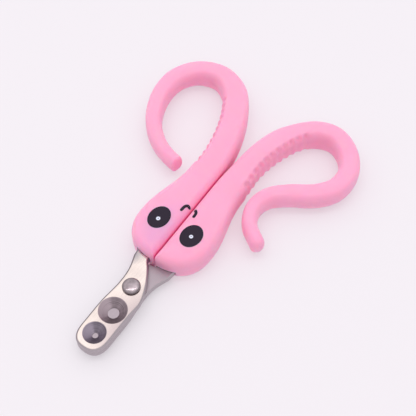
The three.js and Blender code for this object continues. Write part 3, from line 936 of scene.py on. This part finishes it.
def oval_rings(x, y, half_x, half_y, segments=72, shares=(0.1, 0.35, 0.6, 0.8, 0.93, 0.985, 1.0, 1.004)):
    turns = np.linspace(0, 2 * math.pi, segments, endpoint=False)
    return [[(x + half_x * s * math.cos(t), y + half_y * s * math.sin(t)) for t in turns] for s in shares]


def dot_rings(x, y, radius):
    """Rings of a dot with a small pinhole in its middle."""
    return oval_rings(x, y, radius, radius, 36, (0.22, 0.26, 0.6, 0.93, 1.0, 1.02))


def stroke_rings(knots, width):
    """Rings round a stroke with round ends, from near its middle line outwards."""
    line = catmull_rom(knots, 12)
    slope = np.gradient(line, axis=0)
    slope /= np.linalg.norm(slope, axis=1)[:, None]
    aside = np.column_stack([slope[:, 1], -slope[:, 0]])
    start = math.atan2(slope[0, 1], slope[0, 0])
    finish = math.atan2(slope[-1, 1], slope[-1, 0])
    half_turn = np.linspace(-math.pi / 2, math.pi / 2, 14)[1:-1]
    rings = []
    for share in (0.15, 0.55, 0.85, 0.97, 1.0, 1.02):
        half = width / 2 * share
        last_end, first_end = (
            place + half * np.column_stack([np.cos(turns), np.sin(turns)])
            for place, turns in ((line[-1], finish + half_turn), (line[0], start + math.pi + half_turn))
        )
        sides = line + aside * half, (line - aside * half)[::-1]
        rings.append(np.vstack([sides[0], last_end, sides[1], first_end]))
    return rings


def surface_of(piece):
    mesh = piece.data
    return BVHTree.FromPolygons([v.co for v in mesh.vertices], [p.vertices for p in mesh.polygons])


# Settings that a user would change


def millimetres(name, description, default):
    return bpy.props.FloatProperty(name=name, description=description, default=default, min=0.0, precision=3)


def colour(name, description, default):
    return bpy.props.FloatVectorProperty(
        name=name, description=description, default=default, subtype="COLOR", min=0.0, max=1.0
    )


class ClipperSizes(bpy.types.PropertyGroup):
    """Sizes in millimetres."""

    shoulder_reach: millimetres("Shoulder reach", "How far the handles' rounded edges reach inwards", 2.9)
    arm_shoulder_reach: millimetres("Arm shoulder reach", "The same on the arms beyond the head", 2.3)
    shoulder_drop: millimetres("Shoulder drop", "How far the handles' rounded edges drop", 3.3)
    crown: millimetres("Crown", "How much higher the handles' tops are in the middle", 0.18)
    flute_depth: millimetres("Flute depth", "Depth of the hollows between the grip ribs", 0.95)
    parting_depth: millimetres("Parting line depth", "Depth of the mould's parting line", 0.06)
    parting_width: millimetres("Parting line width", "Width of the mould's parting line", 0.3)
    edge_break: millimetres("Edge break", "Width of the blades' bevels", 0.65)
    print_lift: millimetres("Ink thickness", "How far the printed face stands proud", 0.03)


class ClipperColours(bpy.types.PropertyGroup):
    """Colours of the finishes."""

    plastic: colour("Plastic", "Moulded handles", (0.985, 0.425, 0.61))
    cast: colour("Cast", "Faint lilac cast on the swinging half's chin", (0.77, 0.39, 0.62))
    # painted shade: the deeper pink of the crack between the two halves
    crease_shade: colour("Crease", "Deeper pink where the two halves meet", (0.86, 0.12, 0.32))
    plate: colour("Plate", "Polished plate with the claw holes", (0.83, 0.725, 0.675))
    blade: colour("Blade", "Ground sliding blade", (0.41, 0.352, 0.385))
    # painted darker reflection on the plate's right flank
    flank_reflection: colour("Worn flank", "Duller steel along the plate's right flank", (0.54, 0.45, 0.455))
    # painted reflection of the handle at the plate's neck
    neck_reflection: colour("Neck grey", "Greyer steel at the outer corner of the plate's neck", (0.3, 0.28, 0.31))
    edge: colour("Blade edges", "Sides and bevels of both blades", (0.5, 0.445, 0.475))
    # painted dark reflection on the edges of the swinging side
    far_edge_reflection: colour("Far edges", "Darker steel of the edges on the swinging side", (0.2, 0.17, 0.19))
    # painted shade: both countersinks' colours are darkened to stand for the darker surroundings that their
    # cones reflect
    big_sink_shade: colour("Large countersink", "Turned steel of the large claw hole", (0.285, 0.23, 0.255))
    small_sink_shade: colour("Small countersink", "Turned steel of the small claw hole", (0.235, 0.2, 0.245))
    rivet: colour("Rivet", "Rivet and washer", (0.44, 0.372, 0.397))
    ink: colour("Ink", "Eyes and mouth", (0.018, 0.01, 0.024))
    dot: colour("Eye dots", "Pale dots in the eyes", (0.72, 0.75, 0.88))
    floor: colour("Floor", "Acrylic of the light table", (0.45, 0.431, 0.452))
    glow: colour("Floor glow", "Light from below the table's acrylic", (0.409, 0.389, 0.409))


# Operators


class CLIPPER_OT_handles(bpy.types.Operator):
    """Build both moulded handles with their grip ribs and tang pockets"""

    bl_idname = "clipper.handles"
    bl_label = "Handles"

    def execute(self, context):
        sizes = context.scene.clipper_sizes
        plastic = plastic_material(context.scene.clipper_colours)
        for arm, name, body, node, low, high in (
            (RIGHT_ARM, "right_grip", "fixed_half", "right_handle", LOWER_LOW.z, LOWER_HIGH.z),
            (LEFT_ARM, "left_grip", "swinging_half", "left_handle", UPPER_LOW.z, UPPER_HIGH.z),
        ):
            grip = handle_mesh(name, arm, sizes)
            cut(grip, [tang_pocket(arm["side"], low, high)], HANDLE_SHARP_ANGLE)
            coat(grip, plastic)
            ride(grip, body, "handle_plastic", node)
        return {"FINISHED"}


class CLIPPER_OT_face(bpy.types.Operator):
    """Print the eyes and the mouth on the head"""

    bl_idname = "clipper.face"
    bl_label = "Printed face"

    def execute(self, context):
        sizes = context.scene.clipper_sizes
        colours = context.scene.clipper_colours
        ink = print_material("print_black", colours.ink, 0.42)
        pale = print_material("print_white", colours.dot, 0.4)
        lift = sizes.print_lift
        for side, word, body in ((-1, "left", "swinging_half"), (1, "right", "fixed_half")):
            surface = surface_of(bpy.data.objects[f"{word}_grip"])
            eye = draped(f"{word}_eye", surface, oval_rings(*EYE_CENTRES[side], *EYE_HALF_SIZE), lift)
            x, y, radius = EYE_DOTS[side]
            dot = draped(f"{word}_eye_dot", surface, dot_rings(x, y, radius), 2 * lift, hollow=True)
            mark = draped(f"{word}_mouth_mark", surface, stroke_rings(MOUTH_MARKS[side], MARK_WIDTH), lift)
            for piece, material, slot in (
                (eye, ink, "print_black"), (dot, pale, "print_white"), (mark, ink, "print_black"),
            ):
                coat(piece, material)
                ride(piece, body, slot)
        return {"FINISHED"}


class CLIPPER_OT_plate(bpy.types.Operator):
    """Build the upper plate with its two countersunk claw holes"""

    bl_idname = "clipper.plate"
    bl_label = "Claw plate"

    def execute(self, context):
        sizes = context.scene.clipper_sizes
        colours = context.scene.clipper_colours
        plate = blade_body("claw_plate", -1, UPPER_LOW.z - BLADE_CLOSENESS, UPPER_HIGH.z, sizes.edge_break)
        cut(plate, [countersink(*hole) for hole in CLAW_HOLES], BLADE_SHARP_ANGLE)
        painted_reflections = (
            # painted darker reflection on the right flank
            (colours.flank_reflection, FLANK_REFLECTION_PATCH, 19.0, 27.0, 0.9),
            # painted reflection of the handle: grey at the neck's outer corner
            (colours.neck_reflection, NECK_REFLECTION_CORNER, 1.5, 5.5, 0.9),
        )
        polished = brushed_material(
            "polished_steel", colours.plate, 0.2, (2600.0, 160.0, 900.0), 0.000004, 0.8, painted_reflections
        )
        coat(plate, polished)
        edge = brushed_material(
            "ground_edge", colours.edge, 0.38, (900.0, 900.0, 5200.0), 0.00001,
            # painted dark reflection on the edges of the far side
            painted_reflections=((colours.far_edge_reflection, FAR_SIDE, 97.0, 101.0, 0.9),),
        )
        edge_slot(plate, edge)
        sunk = []
        # the countersinks' colours are darkened as painted shade
        for name, tint, (y, _, _) in zip(
            ("sunk_steel_large", "sunk_steel_small"), (colours.big_sink_shade, colours.small_sink_shade), CLAW_HOLES
        ):
            centre = to_metres([(CLAW_HOLE_X, y, 0)])[0]
            sunk.append(sunk_material(name, tint, centre, 0.36))
        sink_slots(plate, sunk)
        ride(plate, "swinging_half", "polished_steel", "upper_blade")
        return {"FINISHED"}


class CLIPPER_OT_blade(bpy.types.Operator):
    """Build the ground blade that slides under the claw holes"""

    bl_idname = "clipper.blade"
    bl_label = "Sliding blade"

    def execute(self, context):
        sizes = context.scene.clipper_sizes
        colours = context.scene.clipper_colours
        top = LOWER_HIGH.z + BLADE_CLOSENESS
        blade = blade_body("sliding_blade", 1, LOWER_LOW.z, top, FINER_BREAK * sizes.edge_break)
        coat(blade, brushed_material("ground_steel", colours.blade, 0.42, (3200.0, 260.0, 1200.0), 0.00001))
        edge_slot(blade, bpy.data.materials["ground_edge"])
        ride(blade, "fixed_half", "ground_steel", "lower_blade")
        return {"FINISHED"}


class CLIPPER_OT_rivet(bpy.types.Operator):
    """Build the domed rivet and its washer"""

    bl_idname = "clipper.rivet"
    bl_label = "Rivet and washer"

    def execute(self, context):
        steel = dome_material(context.scene.clipper_colours.rivet)
        radius = (RIVET_HIGH.x - RIVET_LOW.x) / 2
        head_bottom = UPPER_HIGH.z + FIT_GAP
        tail_top = WASHER_LOW.z - FIT_GAP
        rise = RIVET_HIGH.z - head_bottom - RIVET_HEAD_RIM
        dome_radius = radius - 0.06
        profile = [
            (0, tail_top - TAIL_HEIGHT), (TAIL_RADIUS * 0.75, tail_top - TAIL_HEIGHT),
            (TAIL_RADIUS * 0.95, tail_top - TAIL_HEIGHT * 0.8), (TAIL_RADIUS, tail_top - TAIL_HEIGHT / 2),
            (TAIL_RADIUS, tail_top), (SHANK_RADIUS, tail_top), (SHANK_RADIUS, head_bottom),
            (radius - 0.15, head_bottom), (radius, head_bottom + 0.12),
            (radius, head_bottom + RIVET_HEAD_RIM * 0.8), (dome_radius, head_bottom + RIVET_HEAD_RIM),
        ]
        for turn in np.linspace(0, math.pi / 2, 22)[1:]:
            level = head_bottom + RIVET_HEAD_RIM + rise * math.sin(turn)
            profile.append((dome_radius * math.cos(turn), level))
        rivet = turned("domed_rivet", profile)
        coat(rivet, steel)
        ride(rivet, "fixed_half", "rivet_steel", "pivot_rivet")

        inner, outer = SHANK_RADIUS + FIT_GAP, (WASHER_HIGH.x - WASHER_LOW.x) / 2
        low, high = WASHER_LOW.z, WASHER_HIGH.z
        ease = 0.1
        ring = turned(
            "thrust_washer",
            [
                (inner, low + ease), (inner + ease, low), (outer - ease, low), (outer, low + ease),
                (outer, high - ease), (outer - ease, high), (inner + ease, high), (inner, high - ease),
            ],
            closed=True,
        )
        coat(ring, steel)
        ride(ring, "fixed_half", "rivet_steel", "pivot_washer")
        return {"FINISHED"}


def aimed(made, place, target):
    """Places a light or the camera and turns it towards its target, in millimetres of the modelling frame."""
    start, aim = (Vector(to_metres([p])[0]) for p in (place, target))
    made.location = start
    made.rotation_euler = (aim - start).to_track_quat("-Z", "Y").to_euler()
    bpy.context.scene.collection.objects.link(made)


def area_light(name, place, target, size, power):
    """A rectangular softbox."""
    data = bpy.data.lights.new(name, "AREA")
    data.shape = "RECTANGLE"
    data.size, data.size_y = size[0] * MM, size[1] * MM
    data.energy = power
    aimed(bpy.data.objects.new(name, data), place, target)


class CLIPPER_OT_stage(bpy.types.Operator):
    """Lay the light table and set the lights and the camera"""

    bl_idname = "clipper.stage"
    bl_label = "Stage, lights and camera"

    def execute(self, context):
        scene = context.scene
        corners = ((-1, -1, 0), (1, -1, 0), (1, 1, 0), (-1, 1, 0))
        floor = add_mesh("paper_floor", np.array(corners) * FLOOR_HALF_SIZE, [(0, 1, 2, 3)])
        coat(floor, table_material(scene.clipper_colours.floor, scene.clipper_colours.glow))

        world = bpy.data.worlds.new("studio")
        world.use_nodes = True
        sky = Nodes(world.node_tree)
        direction = sky.node("ShaderNodeTexCoord", {}, output="Generated")
        _, _, up = sky.axes(direction)
        toward_key = sky.node(
            "ShaderNodeVectorMath", {"operation": "DOT_PRODUCT"}, direction, KEY_DIRECTION, output="Value"
        )
        glow = sky.ranged(toward_key, 0.3, 1.0)
        strength = HORIZON_LIGHT + up * OVERHEAD_LIGHT + glow * KEY_GLOW
        backdrop = sky.nodes["Background"]
        sky.feed(backdrop.inputs["Color"], STUDIO_TINT)
        sky.feed(backdrop.inputs["Strength"], strength)
        scene.world = world
        area_light("strip_softbox", STRIP_PLACE, (0, 0, 0), STRIP_SIZE, STRIP_POWER)

        data = bpy.data.cameras.new("camera")
        data.lens = CAMERA_LENS
        data.sensor_width = CAMERA_SENSOR
        camera = bpy.data.objects.new("camera", data)
        aimed(camera, CAMERA_PLACE, CAMERA_TARGET)
        scene.camera = camera
        scene.view_settings.view_transform = "Standard"
        return {"FINISHED"}


class CLIPPER_PT_pieces(bpy.types.Panel):
    """The clipper's settings and pieces"""

    bl_label = "Nail clipper"
    bl_idname = "CLIPPER_PT_pieces"
    bl_space_type = "VIEW_3D"
    bl_region_type = "UI"
    bl_category = "Clipper"

    def draw(self, context):
        layout = self.layout
        for group in (context.scene.clipper_sizes, context.scene.clipper_colours):
            box = layout.box()
            for name in group.__annotations__:
                box.prop(group, name)
        for operator in OPERATORS:
            layout.operator(operator.bl_idname)


OPERATORS = (
    CLIPPER_OT_handles,
    CLIPPER_OT_face,
    CLIPPER_OT_plate,
    CLIPPER_OT_blade,
    CLIPPER_OT_rivet,
    CLIPPER_OT_stage,
)
CLASSES = (ClipperSizes, ClipperColours, *OPERATORS, CLIPPER_PT_pieces)


def register():
    for item in CLASSES:
        bpy.utils.register_class(item)
    bpy.types.Scene.clipper_sizes = bpy.props.PointerProperty(type=ClipperSizes)
    bpy.types.Scene.clipper_colours = bpy.props.PointerProperty(type=ClipperColours)


def unregister():
    del bpy.types.Scene.clipper_colours
    del bpy.types.Scene.clipper_sizes
    for item in reversed(CLASSES):
        bpy.utils.unregister_class(item)


def main():
    register()
    bpy.ops.clipper.stage()
    bpy.ops.clipper.handles()
    bpy.ops.clipper.face()
    bpy.ops.clipper.plate()
    bpy.ops.clipper.blade()
    bpy.ops.clipper.rivet()


if __name__ == "__main__":
    main()
